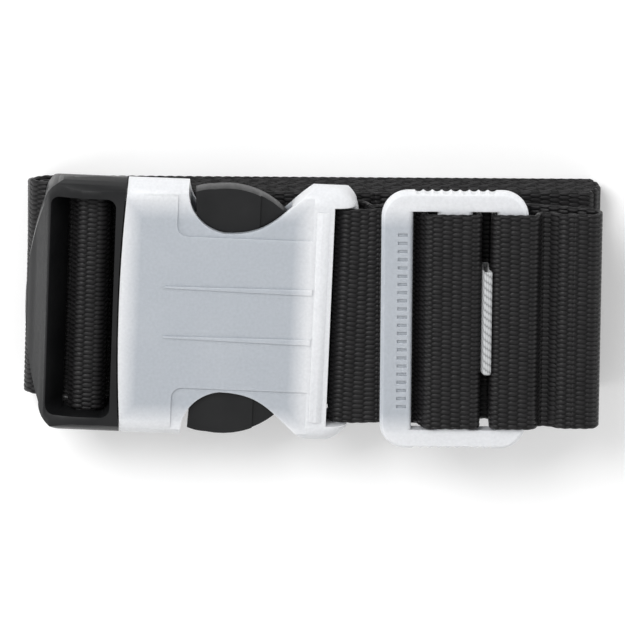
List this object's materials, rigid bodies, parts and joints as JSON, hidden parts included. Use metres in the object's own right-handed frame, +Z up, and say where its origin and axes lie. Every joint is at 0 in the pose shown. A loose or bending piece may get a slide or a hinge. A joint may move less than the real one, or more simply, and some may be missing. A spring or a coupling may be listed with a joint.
{
  "type": "luggage strap",
  "caption": "Flat webbing luggage strap folded to and fro into a bundle, with a side-release buckle, a three-bar slider and a woven tab on top.",
  "frame": {"origin": "on the resting plane under the folded webbing, on the webbing's centre line, midway between the bundle's two ends", "axes": "+X along the webbing from the buckle's plug to the slider, +Y across the webbing, +Z up out of the buckle's face"},
  "size_m": [0.1289, 0.0612, 0.0314],
  "materials": {
    "black_webbing": "ribbed polypropylene weave",
    "frosted_plastic": "milky translucent, fine frosted texture",
    "black_plastic": "satin moulded",
    "silver_label": "twill woven tape",
    "black_thread": "twisted polyester"
  },
  "bodies": {
    "strap": {"folded_webbing": "black_webbing", "upper_return": "black_webbing", "wrap_lead": "black_webbing", "adjuster_legs": "black_webbing", "left_end_wrap": "black_webbing", "socket_shell": "frosted_plastic"},
    "plug": {"plug_frame": "black_plastic", "plug_loop": "black_webbing", "plug_stitches": "black_thread"},
    "upper_latch": {"upper_arm": "black_plastic"},
    "lower_latch": {"lower_arm": "black_plastic"},
    "slider": {"slider_frame": "frosted_plastic", "slider_run": "black_webbing", "slider_loop": "black_webbing", "label": "silver_label", "slider_stitches": "black_thread"}
  },
  "joints": [
    {"name": "plug_release", "type": "slide", "parent": "strap", "child": "plug", "axis": [-0.9994, 0.0349, 0], "range_m": [0, 0.04], "deforming": ["left_end_wrap", "upper_arm", "lower_arm"]},
    {"name": "upper_arm_squeeze", "type": "hinge", "parent": "plug", "child": "upper_latch", "pos_m": [-0.0381, 0.02092, 0.021], "axis": [0, 0, -1], "range_deg": [0, 12], "stiffness_Nm_per_rad": 0.8, "springref_deg": -2.86},
    {"name": "lower_arm_squeeze", "type": "hinge", "parent": "plug", "child": "lower_latch", "pos_m": [-0.03945, -0.01786, 0.021], "axis": [0, 0, 1], "range_deg": [0, 12], "stiffness_Nm_per_rad": 0.8, "springref_deg": -2.86},
    {"name": "slider_travel", "type": "slide", "parent": "strap", "child": "slider", "axis": [1, 0, 0], "range_m": [-0.003, 0.005], "deforming": ["adjuster_legs", "wrap_lead"]}
  ]
}
